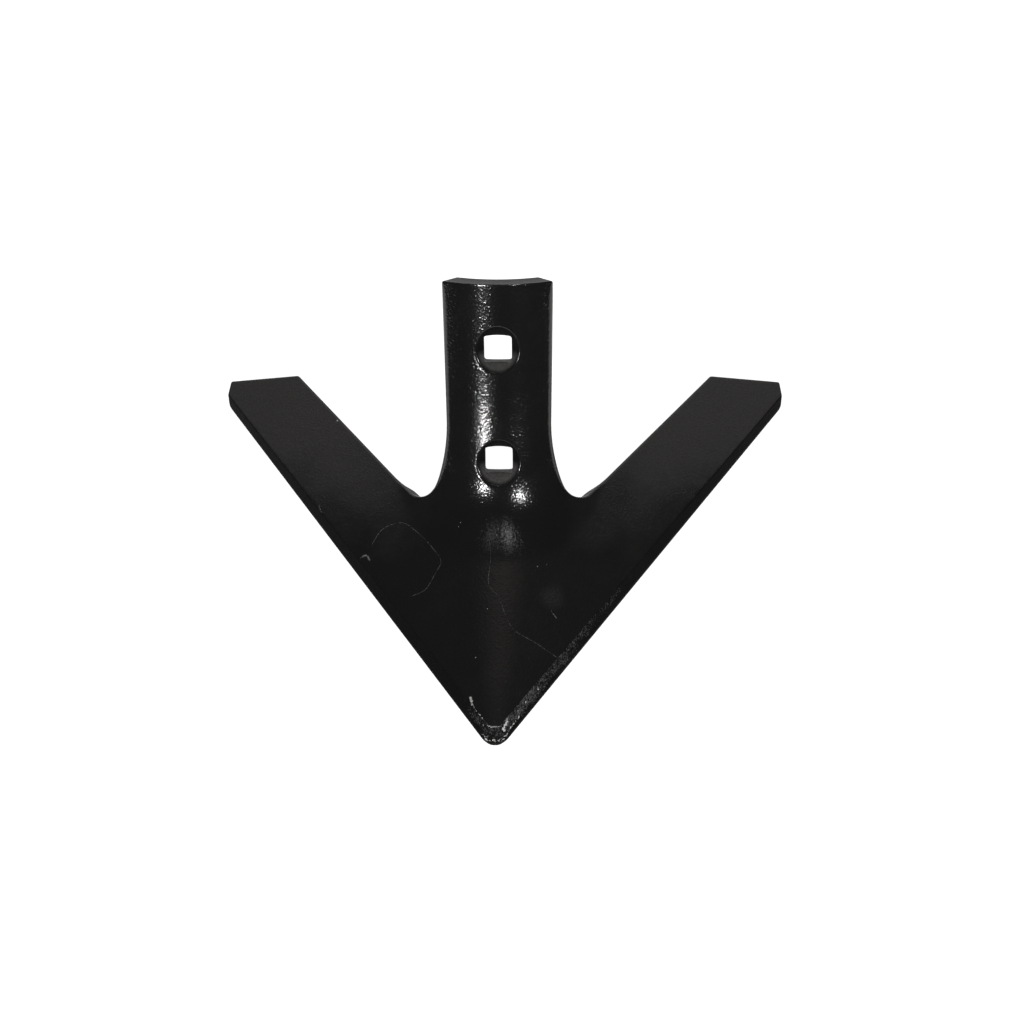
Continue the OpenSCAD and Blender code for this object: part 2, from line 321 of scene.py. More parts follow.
HALF = rad(POINT_ANGLE / 2)
LIFT = rad(WING_LIFT)
WING_RISE = math.tan(LIFT) * math.sin(HALF)
WING_FALL = math.tan(LIFT) * math.cos(HALF)
RIDGE_ANGLE = math.atan(WING_RISE)
BEND_Z = PLATE_T / math.cos(LIFT) + WING_RISE * BEND_Y
MEAN = (rad(STEM_ANGLE) + RIDGE_ANGLE) / 2
TURN = (rad(STEM_ANGLE) - RIDGE_ANGLE) / 2
BEND_DEPTH = 2 * BEND_R * math.tan(TURN) ** 2
SIDE_FALL = WING_FALL * math.cos(RIDGE_ANGLE) / math.cos(TURN)
EDGE_LEAN = PLATE_T * math.sin(LIFT)
NOSE_Y = NOSE_R / math.sin(HALF)
EDGE_R = NOSE_R + EDGE_LEAN
STEM_L = HOLE_RISE + HOLE_SPACING + HOLE_TOP_GAP
WAIST = STEM_WAIST_W / 2
CROWN_LIMIT = CROWN_SHARE * CROWN_R
CROWN_SIDE = math.sqrt(CROWN_R**2 - CROWN_LIMIT**2)

EDGE_START = np.array([EDGE_R * math.cos(HALF), NOSE_Y - EDGE_R * math.sin(HALF)])
EDGE_RUN = np.array([math.sin(HALF), math.cos(HALF)])
EDGE_INWARD = np.array([-math.cos(HALF), math.sin(HALF)])
TIP_SIDE = np.array([-TIP_TAPER, TIP_SIDE_L])
TIP_INWARD = TIP_SIDE / along(TIP_SIDE, EDGE_INWARD)
TIP_X = SWEEP_W / 2 - TIP_INWARD[0] * BEVEL_TIP_W
TIP_Y = (TIP_X * math.cos(HALF) - EDGE_LEAN) / math.sin(HALF)
TIP_REAR_Y = TIP_Y + TIP_SIDE_L
V_PER_Y = math.cos(MEAN) + WING_RISE * math.sin(MEAN)
V_PER_X = WING_FALL * math.sin(MEAN)

HOLE_REACHES = (HOLE_RISE, HOLE_RISE + HOLE_SPACING)
SINK_FLARE = math.tan(rad(SINK_ANGLE / 2))
HOLE_TURNS = np.arange(HOLE_STEPS) * 2 * math.pi / HOLE_STEPS
HOLE_RAYS = np.stack([np.cos(HOLE_TURNS), np.sin(HOLE_TURNS)], -1)
SINK_LIPS = SINK_LIP + SINK_LIP_WORN * np.clip(LIP_SPREAD - HOLE_RAYS[:, 1], 0, 1)
STEM_ALONG = np.array([0, math.cos(rad(STEM_ANGLE)), math.sin(rad(STEM_ANGLE))])
STEM_OUT = np.array([0, -math.sin(rad(STEM_ANGLE)), math.cos(rad(STEM_ANGLE))])


def wing_place(p):
    """Place in the tilted frame (x, v) of points of the right wing that are given seen from above."""
    p = np.asarray(p, float)
    return np.stack([p[..., 0], (p[..., 1] - BEND_Y) * V_PER_Y - V_PER_X * p[..., 0]], -1)


def wing_plan(q):
    """Points of either wing seen from above, as on the right wing, from their places (x, v)."""
    x = np.abs(q[..., 0])
    return np.stack([x, BEND_Y + (q[..., 1] + V_PER_X * x) / V_PER_Y], -1)


def plate_place(plan):
    """Places (x, v) of points seen from above, on the plane of the wing that they lie on."""
    plan = np.asarray(plan, float)
    place = wing_place(np.stack([np.abs(plan[..., 0]), plan[..., 1]], -1))
    place[..., 0] *= np.sign(plan[..., 0])
    return place


NOSE_V = wing_place([0, NOSE_Y - EDGE_R])[1]


def crown_drop(x):
    """How far the crowned front lies behind its middle line. Past the crown it goes straight on."""
    x = np.abs(x)
    on_crown = CROWN_R - np.sqrt(CROWN_R**2 - np.minimum(x, CROWN_LIMIT) ** 2)
    return on_crown + np.maximum(x - CROWN_LIMIT, 0) * CROWN_LIMIT / CROWN_SIDE


def stem_reach(q):
    """Distance of places (x, v) from the bend's corner, along the stem."""
    return (q[..., 1] - crown_drop(q[..., 0]) * math.sin(TURN)) / math.cos(TURN)


def stem_v(x, reach):
    """Place v of a point of the stem's face at x and at a reach along the stem."""
    return reach * math.cos(TURN) + crown_drop(x) * math.sin(TURN)


def hollow(reach):
    """Depth of the stem's hollow at a reach along the stem: deepest midway, with a smooth lower end."""
    share = np.clip((reach - HOLLOW_START) / (STEM_L - HOLLOW_START), 0, 1)
    lower = (1 - np.cos(2 * math.pi * share)) / 2
    upper = np.sin(math.pi * share)
    return STEM_HOLLOW * np.where(share < 0.5, lower, upper)


def top_point(q):
    """Points of the plate's top face, unbevelled, from their places (x, v)."""
    x, v = q[..., 0], q[..., 1]
    ridge_w = RIDGE_NOSE_W + (RIDGE_BEND_W - RIDGE_NOSE_W) * np.clip((v - NOSE_V) / -NOSE_V, 0, 1)
    rounded_x = np.where(np.abs(x) > ridge_w, np.abs(x), (x * x + ridge_w**2) / (2 * ridge_w))
    wing = -v * math.tan(TURN) - SIDE_FALL * rounded_x
    stem = v * math.tan(TURN) - (crown_drop(x) + hollow(stem_reach(q))) / math.cos(TURN)
    short = np.maximum(0, BEND_DEPTH - np.abs(wing - stem))
    w = np.maximum(wing, stem) + short**2 / (4 * BEND_DEPTH)
    y = BEND_Y + v * math.cos(MEAN) - w * math.sin(MEAN)
    z = BEND_Z + v * math.sin(MEAN) + w * math.cos(MEAN)
    return np.stack([x, y, z], -1)


def top_normal(q):
    """Directions square to the top face at places (x, v)."""
    x_step = np.array([PROBE, 0])
    v_step = np.array([0, PROBE])
    return unit(np.cross(
        top_point(q + x_step) - top_point(q - x_step),
        top_point(q + v_step) - top_point(q - v_step),
    ))


def sunk_point(q, depth):
    """Points at a depth below the top face."""
    return top_point(q) - np.asarray(depth)[..., None] * top_normal(q)


def line(a, b):
    """Points from a towards b, without b."""
    a, b = np.asarray(a, float), np.asarray(b, float)
    count = max(1, int(round(np.linalg.norm(b - a) / RIM_STEP)))
    return a + (b - a) * (np.arange(count) / count)[:, None]


def arc(hub, radius, start, end, step):
    """Points of an arc from one angle to another, counted from straight down, without the last."""
    count = max(LEAST_ARC_STEPS, int(round(abs(end - start) * radius / step)))
    turn = start + (end - start) * np.arange(count) / count
    return np.asarray(hub) + radius * np.stack([np.sin(turn), -np.cos(turn)], -1)


def rounded_corner(before, corner, after):
    """Points of a curve that replaces a corner of the outline."""
    start = corner + unit(before - corner) * PLAN_CORNER_R
    end = corner + unit(after - corner) * PLAN_CORNER_R
    t = np.linspace(0, 1, CORNER_STEPS + 1)[:, None]
    return (1 - t) ** 2 * start + 2 * t * (1 - t) * corner + t**2 * end


def half_outline():
    """Right half of the plate's rim in (x, v), from the nose to the stem's top end, with its roundings.

    The last results are the throat's place v, and the reach at which the stem is at its narrowest.
    """
    throat_x = THROAT_W / 2
    throat_v = wing_place([throat_x, BEND_Y + THROAT_BACK])[1]
    hub = np.array([throat_x, throat_v + THROAT_R])
    outer_x = TIP_X - TIP_TAPER
    inner_tip = wing_place([outer_x - TIP_REAR_W, TIP_REAR_Y])
    to_tip = inner_tip - hub
    tip_angle = math.atan2(to_tip[1], to_tip[0])
    trail_turn = math.pi / 2 + tip_angle - math.acos(THROAT_R / np.linalg.norm(to_tip))
    trail_start = hub + THROAT_R * np.array([math.sin(trail_turn), -math.cos(trail_turn)])
    flare_turn = math.asin((FLARE_R - (throat_x - WAIST)) / (FLARE_R - THROAT_R))
    flare_hub = hub + (FLARE_R - THROAT_R) * np.array([math.sin(flare_turn), math.cos(flare_turn)])
    waist_reach = stem_reach(np.array([WAIST, flare_hub[1]]))

    nose = wing_place(arc([0, NOSE_Y], EDGE_R, 0, math.pi / 2 - HALF, RIM_STEP / 2))
    edge_start = wing_place(EDGE_START)
    tip_front = wing_place([TIP_X, TIP_Y])
    tip_rear = wing_place([outer_x, TIP_REAR_Y])
    front_corner = rounded_corner(edge_start, tip_front, tip_rear)
    rear_corner = rounded_corner(tip_front, tip_rear, inner_tip)
    inner_corner = rounded_corner(tip_rear, inner_tip, trail_start)
    throat = arc(hub, THROAT_R, trail_turn, -flare_turn, RIM_STEP / 2)
    flare = arc(flare_hub, FLARE_R, -flare_turn, -math.pi / 2, RIM_STEP)
    side_count = int((STEM_L - waist_reach) / RIM_STEP)
    share = np.arange(side_count) / side_count
    side_x = WAIST + (STEM_TOP_W / 2 - WAIST) * share
    side = np.stack([side_x, stem_v(side_x, waist_reach + (STEM_L - waist_reach) * share)], -1)
    end_x = np.arange(STEM_TOP_W / 2, 0, -RIM_STEP)
    end = np.stack([end_x, stem_v(end_x, STEM_L)], -1)
    pieces = [
        (nose, CUT_EDGE_R),
        (line(edge_start, front_corner[0]), CUT_EDGE_R),
        (front_corner, TIP_EDGE_R),
        (line(front_corner[-1], rear_corner[0])[1:], TIP_EDGE_R),
        (rear_corner, TIP_EDGE_R),
        (line(rear_corner[-1], inner_corner[0])[1:], TIP_EDGE_R),
        (inner_corner, TIP_EDGE_R),
        (line(inner_corner[-1], trail_start)[1:], TRAIL_EDGE_R),
        (throat, TRAIL_EDGE_R),
        (flare, STEM_EDGE_R),
        (side[:-CORNER_CUT], STEM_EDGE_R),
        (rounded_corner(side[-CORNER_REACH], end[0], end[CORNER_REACH]), TOP_EDGE_R),
        (end[CORNER_CUT:], TOP_EDGE_R),
        (np.array([[0, stem_v(0, STEM_L)]]), TOP_EDGE_R),
    ]
    places = np.concatenate([p for p, _ in pieces])
    radii = np.concatenate([np.full(len(p), r) for p, r in pieces])
    return places, radii, throat_v, waist_reach


def smoothed(values):
    """Values round a closed line, with their steps smoothed."""
    for _ in range(SMOOTH_ROUNDS):
        values = (np.roll(values, 1) + 2 * values + np.roll(values, -1)) / 4
    return values


def full_outline():
    """Whole rim of the front and of the back, point for point, with the front's roundings.

    The front's rim reaches out past the stem's sides, because its rounding then draws it in again.
    """
    half, radii, throat_v, waist_reach = half_outline()
    mirror = half[-2:0:-1] * [-1, 1]
    rim = np.concatenate([half, mirror])
    radii = smoothed(np.concatenate([radii, radii[-2:0:-1]]))
    reach = stem_reach(rim)
    throat_reach = stem_reach(np.array([THROAT_W / 2, throat_v]))
    on_stem = (np.abs(rim[:, 0]) < THROAT_W / 2) & (rim[:, 1] > throat_v - PROBE)
    share = np.where(on_stem, np.clip((reach - throat_reach) / (waist_reach - throat_reach), 0, 1), 0)
    past_waist = np.clip((reach - waist_reach) / (STEM_L - waist_reach), 0, 1)
    half_w = WAIST + (STEM_TOP_W / 2 - WAIST) * past_waist
    across = np.clip(np.abs(rim[:, 0]) / half_w, 0, 1)
    outward = np.sign(rim[:, 0]) * share * across
    back_x = rim[:, 0] - SIDE_SLANT * outward
    back = np.stack([back_x, np.where(share > 0, stem_v(back_x, reach), rim[:, 1])], -1)
    lean = np.abs(top_normal(rim)[:, 0])
    front_x = rim[:, 0] + radii * lean * outward
    front = np.stack([front_x, np.where(share > 0, stem_v(front_x, reach), rim[:, 1])], -1)
    return front, back, radii


def inward_normals(loop):
    """Directions into the plate round a loop that runs anticlockwise."""
    ahead = unit(np.roll(loop, -1, 0) - loop)
    behind = unit(loop - np.roll(loop, 1, 0))
    tangent = unit(ahead + behind)
    return np.stack([-tangent[:, 1], tangent[:, 0]], -1)


def near(places, loop, values, closed=True):
    """Distance of each place to a line through points, and the line's value at the nearest point."""
    start, end = loop, np.roll(loop, -1, 0)
    end_values = np.roll(values, -1)
    if not closed:
        start, end, values, end_values = start[:-1], end[:-1], values[:-1], end_values[:-1]
    run = end - start
    length = (run**2).sum(1)
    distance, value = [], []
    for i in range(0, len(places), NEAR_CHUNK):
        p = places[i:i + NEAR_CHUNK, None]
        t = np.clip(((p - start) * run).sum(-1) / length, 0, 1)
        gap = np.linalg.norm(p - start - t[..., None] * run, axis=-1)
        best = gap.argmin(1)
        row = np.arange(len(best))
        distance.append(gap[row, best])
        value.append(values[best] + (end_values[best] - values[best]) * t[row, best])
    return np.concatenate(distance), np.concatenate(value)


def inside(places, loop):
    """Whether each place lies within a closed loop."""
    x, y = places[:, 0, None], places[:, 1, None]
    a, b = loop, np.roll(loop, -1, 0)
    spans = (a[:, 1] > y) != (b[:, 1] > y)
    rise = np.where(b[:, 1] == a[:, 1], 1, b[:, 1] - a[:, 1])
    cross = a[:, 0] + (y - a[:, 1]) * (b[:, 0] - a[:, 0]) / rise
    return ((spans & (x < cross)).sum(1) % 2) == 1


def edge_place(plan):
    """Distance from the cutting edge, run along it and bevel's width, of points seen from above."""
    run = along(plan - EDGE_START, EDGE_RUN)
    length = along(np.array([TIP_X, TIP_Y]) - EDGE_START, EDGE_RUN)
    straight = along(plan - EDGE_START, EDGE_INWARD)
    curved = EDGE_R - np.linalg.norm(plan - [0, NOSE_Y], axis=-1)
    share = np.clip(run / length, 0, 1)
    width = BEVEL_NOSE_W + (BEVEL_TIP_W - BEVEL_NOSE_W) * share
    return np.where(run < 0, curved, straight), run, width


def crease_line(offset):
    """Places of a line beside the bevel's inner edge, from the left tip round the nose to the right tip."""
    tip = np.array([TIP_X, TIP_Y])
    straight = line(EDGE_START, tip + TIP_INWARD * BEVEL_TIP_W)[1:]
    _, run, width = edge_place(straight)
    straight = EDGE_START + np.outer(run, EDGE_RUN) + EDGE_INWARD * (width + offset)[:, None]
    nose = arc([0, NOSE_Y], EDGE_R - BEVEL_NOSE_W - offset, 0, math.pi / 2 - HALF, RIM_STEP / 3)
    right = wing_place(np.concatenate([nose, straight]))
    return np.concatenate([right[:0:-1] * [-1, 1], right])


def square_reach():
    """Distance from a hole's middle to its rounded square wall, along each ray."""
    ray = np.abs(HOLE_RAYS)
    half = HOLE_SIDE / 2
    plain = half / ray.max(1)
    hub = np.full(2, half - HOLE_CORNER_R)
    middle = ray @ hub
    spare = middle**2 - (hub @ hub - HOLE_CORNER_R**2)
    curved = middle + np.sqrt(np.maximum(spare, 0))
    hits = plain[:, None] * ray
    return np.where(hits.min(1) > half - HOLE_CORNER_R, curved, plain)


def hole_middle(reach):
    """Middle of a hole on the stem's front."""
    return np.array([0, BEND_Y, BEND_Z]) + STEM_ALONG * reach - STEM_OUT * hollow(reach)


def hole_frame(points, reach):
    """Points in a hole's own frame: across the stem, along it, and out of its face."""
    offset = points - hole_middle(reach)
    return np.stack([offset[..., 0], offset @ STEM_ALONG, offset @ STEM_OUT], -1)


def hole_point(place, reach):
    """The reverse of hole_frame."""
    across, up, out = place[..., :1], place[..., 1:2], place[..., 2:]
    return hole_middle(reach) + across * [1, 0, 0] + up * STEM_ALONG + out * STEM_OUT


def hole_place(ring, reach, depth):
    """Places (x, v) whose points, sunk to a depth, lie on a ring given across and along the stem."""
    q = np.stack([ring[:, 0], stem_v(ring[:, 0], reach + ring[:, 1])], -1)
    for _ in range(PLACE_ROUNDS):
        here = hole_frame(sunk_point(q, np.full(len(q), depth)), reach)
        q = q + (ring - here[:, :2]) * [1, math.cos(TURN)]
    return q


def face_ring(reach, radius):
    """Places of a ring on the stem's face round a hole, with its radius along each ray."""
    return hole_place(HOLE_RAYS * radius[:, None], reach, 0.0)


def sink_rim(reach):
    """Radius at which a countersink's cone meets the stem's face, along each ray."""
    radius = np.full(HOLE_STEPS, SINK_D / 2)
    for _ in range(SINK_ROUNDS):
        height = hole_frame(top_point(face_ring(reach, radius)), reach)[:, 2]
        radius = (radius + SINK_D / 2 + height * SINK_FLARE) / 2
    return radius


def hole_wall(reach, rim_radius):
    """Rings of points down a hole: along the countersink's cone, and one just below its end."""
    wall = square_reach()
    lip = rim_radius - SINK_LIPS
    radii = [lip + (wall - lip) * share for share in np.linspace(0, 1, CONE_RINGS)]
    heights = [(radius - SINK_D / 2) / SINK_FLARE for radius in radii]
    radii.append(wall)
    heights.append(heights[-1] - SINK_LIP)
    return [
        hole_point(np.concatenate([HOLE_RAYS * radius[:, None], height[:, None]], 1), reach)
        for radius, height in zip(radii, heights)
    ]


def fill_points(rim, holes, step, keep_off):
    """An even pattern of places inside the rim, clear of it and of the holes."""
    low, high = rim.min(0), rim.max(0)
    rows = np.arange(low[1], high[1], step * math.sqrt(3) / 2)
    columns = np.arange(low[0], high[0], step)
    grid = np.concatenate([
        np.stack([columns + (step / 2 if i % 2 else 0), np.full(len(columns), v)], -1)
        for i, v in enumerate(rows)
    ])
    grid = grid[inside(grid, rim)]
    gap, clear = near(grid, rim, keep_off)
    grid = grid[gap > clear + step / 2]
    for loop in holes:
        gap, _ = near(grid, loop, np.zeros(len(loop)))
        grid = grid[~inside(grid, loop) & (gap > step / 2)]
    return grid


def smooth_path(corners, step):
    """Points about a step apart on a smooth curve through the given corners."""
    corners = np.asarray(corners, float)
    ends = np.concatenate([2 * corners[:1] - corners[1:2], corners, 2 * corners[-1:] - corners[-2:-1]])
    pieces = []
    for a, b, c, d in zip(ends, ends[1:], ends[2:], ends[3:]):
        count = max(1, int(round(np.linalg.norm(c - b) / step)))
        t = (np.arange(count) / count)[:, None]
        bend = (2 * a - 5 * b + 4 * c - d) * t**2 + (3 * b - a - 3 * c + d) * t**3
        pieces.append(b + ((c - a) * t + bend) / 2)
    return np.concatenate(pieces + [corners[-1:]])


def scratch_path(corners):
    """Places along a scratch's middle."""
    return plate_place(smooth_path(corners, WEAR_STEP))


def scratch_gap(places, corners):
    """Distance of each place to a scratch's middle."""
    path = scratch_path(corners)
    return near(places, path, np.zeros(len(path)), closed=False)[0]


def speck_gap(places, x, y):
    """Distance of each place to a speck's middle."""
    return np.linalg.norm(places - plate_place([x, y]), axis=-1)


def wear_places():
    """Close places along and beside the scratches, and in and round the specks."""
    places = []
    for half_w, _, corners in SCRATCHES:
        path = scratch_path(corners)
        tangent = unit(np.gradient(path, axis=0))
        across = np.stack([-tangent[:, 1], tangent[:, 0]], -1)
        places += [path + across * half_w * share for share in SCRATCH_ROWS]
    turns = np.arange(SPECK_STEPS) * 2 * math.pi / SPECK_STEPS
    ring = np.stack([np.cos(turns), np.sin(turns)], -1)
    for x, y, radius, _ in SPECKS:
        middle = plate_place([x, y])
        places += [middle[None]] + [middle + ring * radius * share for share in SPECK_RINGS]
    return np.concatenate(places)


def marked(places):
    """How strongly scratches and specks mark each place, from 0 to 1."""
    mark = np.zeros(len(places))
    for half_w, strength, corners in SCRATCHES:
        gap = scratch_gap(places, corners)
        mark = np.maximum(mark, strength * np.clip(1 - gap / half_w, 0, 1))
    for x, y, radius, strength in SPECKS:
        gap = speck_gap(places, x, y)
        mark = np.maximum(mark, strength * np.clip(SPECK_STEEPNESS * (1 - gap / radius), 0, 1))
    return mark


def marked_gap(places):
    """Distance of each place to the nearest scratch or speck."""
    gaps = [scratch_gap(places, corners) - half_w for half_w, _, corners in SCRATCHES]
    gaps += [speck_gap(places, x, y) - radius for x, y, radius, _ in SPECKS]
    return np.min(gaps, axis=0)


def chipped(places):
    """How much of the paint is chipped off at each place: round the nose and along the bevels."""
    gap, run, width = edge_place(wing_plan(places))
    right = np.interp(run, CHIP_RUN_RIGHT, CHIP_SHARE_RIGHT)
    left = np.interp(run, CHIP_RUN_LEFT, CHIP_SHARE_LEFT)
    on_bevel = np.clip((width + CHIP_FADE_W - gap) / CHIP_FADE_W, 0, 1)
    from_edge = CHIP_EDGE_SHARE + (1 - CHIP_EDGE_SHARE) * eased(gap / width, *CHIP_RISE)
    return np.where(places[:, 0] > 0, right, left) * on_bevel * from_edge


def dulled(places):
    """How dull and grey the paint is at each place: towards the wing tips, and in one small patch."""
    gap, run, width = edge_place(wing_plan(places))
    wings = eased(run + DULL_LEAN * np.minimum(gap, DULL_LEAN_W), *DULL_RUN)
    wings *= eased(np.abs(places[:, 0]), *DULL_ACROSS)
    wings *= eased(gap - width, *DULL_PAST_BEVEL)
    patch = np.linalg.norm(places - plate_place(DULL_PATCH), axis=-1)
    return np.maximum(wings, DULL_PATCH_SHARE * (1 - eased(patch, *DULL_PATCH_R)))


class Sheet:
    """One face of the plate: its places and the lines between them, which are then triangulated."""

    def __init__(self, rim, radii):
        """Starts with the rim, and with the rings that its rounding needs."""
        self.rim = rim
        self.radii = radii
        self.given = []
        self.lines = []
        self.count = 0
        self.holes = []
        self.hole_rings = []
        self.rim_ring = self.add(rim, closed=True)
        inward = inward_normals(rim)
        for turn in np.linspace(0, math.pi / 2, ROUND_STEPS + 1)[1:]:
            self.add(rim + inward * (radii * (1 - math.cos(turn)))[:, None], closed=True)
        self.add(rim + inward * (radii + LIP_REACH)[:, None], closed=True)

    def add(self, places, closed=None):
        """Adds places, joined in turn by lines where closed is given. Returns their numbers."""
        numbers = self.count + np.arange(len(places))
        self.given.append(np.asarray(places))
        self.count += len(places)
        if closed is not None:
            joined = list(zip(numbers.tolist(), np.roll(numbers, -1).tolist()))
            self.lines += joined if closed else joined[:-1]
        return numbers

    def add_hole(self, loop):
        """Adds the edge of a hole."""
        self.holes.append(loop)
        self.hole_rings.append(self.add(loop, closed=True))

    def triangulate(self):
        """Makes the sheet's final places and triangles, and renumbers its rings to match."""
        given = np.concatenate(self.given)
        made, _, faces, sources, _, _ = delaunay_2d_cdt(given.tolist(), self.lines, [], 0, MERGE_GAP)
        self.places = np.array([[p[0], p[1]] for p in made])
        number = np.zeros(len(given), int)
        for new, olds in enumerate(sources):
            for old in olds:
                number[old] = new
        faces = np.array([list(f) for f in faces])
        a, b, c = self.places[faces].transpose(1, 0, 2)
        ab, ac = b - a, c - a
        middles = (a + b + c) / 3
        keep = inside(middles, self.rim) & (ab[:, 0] * ac[:, 1] - ab[:, 1] * ac[:, 0] > SLIVER)
        for loop in self.holes:
            keep &= ~inside(middles, loop)
        self.faces = faces[keep]
        self.rim_ring = number[self.rim_ring]
        self.hole_rings = [number[ring] for ring in self.hole_rings]

    def rounding(self):
        """Depth of the rim's rounding at each place."""
        gap, radius = near(self.places, self.rim, self.radii)
        over = np.maximum(radius - gap, 0)
        return radius - np.sqrt(np.maximum(radius**2 - over**2, 0))


def front_sheet(rim, radii, sink_radii):
    """The front, with rings round its countersinks, the bevel's crease, the wear and a fill."""
    sheet = Sheet(rim, radii)
    outer_rings = []
    for reach, radius in zip(HOLE_REACHES, sink_radii):
        sheet.add_hole(face_ring(reach, radius))
        rings = [face_ring(reach, radius + SINK_LIPS * share) for share in LIP_RINGS]
        for ring in rings:
            sheet.add(ring, closed=True)
        outer_rings.append(rings[-1])
    for offset in (-CREASE_HALF_W, 0, CREASE_HALF_W):
        sheet.add(crease_line(offset), closed=False)
    wear = wear_places()
    gap, _ = near(wear, rim, radii)
    sheet.add(wear[inside(wear, rim) & (gap > radii.max() / 2)])
    keep_off = radii + LIP_REACH
    plain, close = [fill_points(rim, outer_rings, step, keep_off) for step in (FRONT_STEP, NOSE_STEP)]
    patch_end = NOSE_V + NOSE_PATCH
    fill = np.concatenate([plain[plain[:, 1] > patch_end], close[close[:, 1] < patch_end]])
    sheet.add(fill[marked_gap(fill) > 2 * WEAR_STEP])
    sheet.triangulate()
    return sheet


def back_sheet(rim, radii):
    """The back, with its square holes and a fill."""
    sheet = Sheet(rim, radii)
    square = HOLE_RAYS * square_reach()[:, None]
    for reach in HOLE_REACHES:
        sheet.add_hole(hole_place(square, reach, PLATE_T))
    sheet.add(fill_points(rim, sheet.holes, BACK_STEP, radii + LIP_REACH))
    sheet.triangulate()
    return sheet


def front_depth(front):
    """Depth of the front below the unbevelled top face: the rounded rim, the bevel and the holes' lips."""
    places = front.places
    from_edge, _, width = edge_place(wing_plan(places))
    on_blade = places[:, 1] < wing_place([SWEEP_W / 2, TIP_REAR_Y])[1] + PLATE_T
    bevel = (PLATE_T - EDGE_T) * np.clip(1 - from_edge / width, 0, 1)
    depth = front.rounding() + np.where(on_blade & (stem_reach(places) < 0), bevel, 0)
    for loop in front.holes:
        gap, lip = near(places, loop, SINK_LIPS)
        depth += np.maximum(lip - gap, 0) ** 2 / (4 * lip) / SINK_FLARE
    return depth


def front_kinds(front):
    """Kind of surface of each triangle of the front."""
    middles = front.places[front.faces].mean(1)
    from_edge, _, width = edge_place(wing_plan(middles))
    return np.where((from_edge < width) & (stem_reach(middles) < 0), BEVEL, PAINT)


def rim_kinds(rim):
    """Kind of surface of each step of the band between the front's rim and the back's."""
    on_end = stem_reach(rim) > STEM_L - SHEARED_CORNER * PLAN_CORNER_R
    from_edge, _, _ = edge_place(wing_plan(rim))
    on_cut = (from_edge < PROBE) & (stem_reach(rim) < 0)
    kinds = np.where(np.abs(rim[:, 0]) > WAIST, MATT, PAINT)
    kinds = np.where(on_end & np.roll(on_end, -1), SHEARED_END, kinds)
    return np.where(on_cut & np.roll(on_cut, -1), BEVEL, kinds)


def seat():
    """Shift that puts the middle of the plate's box over the origin."""
    front = sunk_point(np.array([[0.0, NOSE_V]]), np.array([PLATE_T - EDGE_T]))[0]
    rear_corner = wing_place([[TIP_X - TIP_TAPER, TIP_REAR_Y]])
    rear = sunk_point(rear_corner, np.array([PLATE_T]))[0]
    return np.array([0, -(front[1] + rear[1]) / 2, 0])


def build_plate():
    """The sweep as one closed mesh: points in millimetres, triangles, their kinds and the points' looks."""
    rim, back_rim, radii = full_outline()
    sink_radii = [sink_rim(reach) for reach in HOLE_REACHES]
    front = front_sheet(rim, radii, sink_radii)
    back = back_sheet(back_rim, np.minimum(radii, BACK_EDGE_R))
    mark = marked(front.places)
    front_points = sunk_point(front.places, front_depth(front) + GROOVE_DEPTH * mark)
    back_points = sunk_point(back.places, PLATE_T - back.rounding())
    back_start = len(front_points)
    hole_start = back_start + len(back_points)

    points = [front_points, back_points]
    faces = [front.faces, back.faces[:, ::-1] + back_start]
    kinds = [front_kinds(front), np.full(len(back.faces), PAINT)]

    def band(upper, lower, kind):
        """Two triangles to each step between two closed rings of point numbers, facing out of the plate."""
        after_upper, after_lower = np.roll(upper, -1), np.roll(lower, -1)
        faces.append(np.stack([upper, lower, after_lower], -1))
        faces.append(np.stack([upper, after_lower, after_upper], -1))
        kinds.append(np.tile(kind, 2))

    band(front.rim_ring, back.rim_ring + back_start, rim_kinds(rim))
    count = hole_start
    for reach, radius, sink, square in zip(HOLE_REACHES, sink_radii, front.hole_rings, back.hole_rings):
        rings = [sink]
        for ring_points in hole_wall(reach, radius):
            points.append(ring_points)
            rings.append(count + np.arange(HOLE_STEPS))
            count += HOLE_STEPS
        rings.append(square + back_start)
        for upper, lower in zip(rings, rings[1:]):
            band(lower, upper, np.full(HOLE_STEPS, MATT))

    unworn = np.zeros(count - back_start)
    # Painted light: the holes' walls are a lighter grey on their lower side, where light falls into the
    # countersinks
    hole_painted_light = HOLE_PAINTED_LIGHT * eased(-HOLE_RAYS[:, 1], *HOLE_PAINTED_LIGHT_SIDE)
    looks = {
        "mark": np.concatenate([mark, unworn]),
        "chip": np.concatenate([chipped(front.places), unworn]),
        "dull": np.concatenate([
            dulled(front.places),
            np.full(len(back_points), BACK_DULLNESS),
            np.tile(hole_painted_light, (count - hole_start) // HOLE_STEPS),
        ]),
    }
    return np.concatenate(points) + seat(), np.concatenate(faces), np.concatenate(kinds), looks


def new_material(name):
    """A material with an empty node tree, and that tree."""
    material = bpy.data.materials.new(name)
    material.use_nodes = True
    tree = material.node_tree
    tree.nodes.clear()
    return material, tree


def add_node(tree, kind, inputs=None, **settings):
    """A new node. Its inputs are values, or sockets of other nodes that are joined to it."""
    node = tree.nodes.new(kind)
    for name, value in settings.items():
        setattr(node, name, value)
    for name, value in (inputs or {}).items():
        if isinstance(value, bpy.types.NodeSocket):
            tree.links.new(value, node.inputs[name])
        else:
            node.inputs[name].default_value = value
    return node


def show(tree, kind, inputs):
    """Adds a shader and the output that shows it."""
    shader = add_node(tree, kind, inputs)
    add_node(tree, "ShaderNodeOutputMaterial", {"Surface": shader.outputs[0]})


def surface_place(tree):
    """Socket of the place on the sweep, in metres."""
    return add_node(tree, "ShaderNodeTexCoord").outputs["Object"]


def attribute(tree, name):
    """Socket of a value that the mesh holds at its points."""
    return add_node(tree, "ShaderNodeAttribute", attribute_name=name).outputs["Fac"]


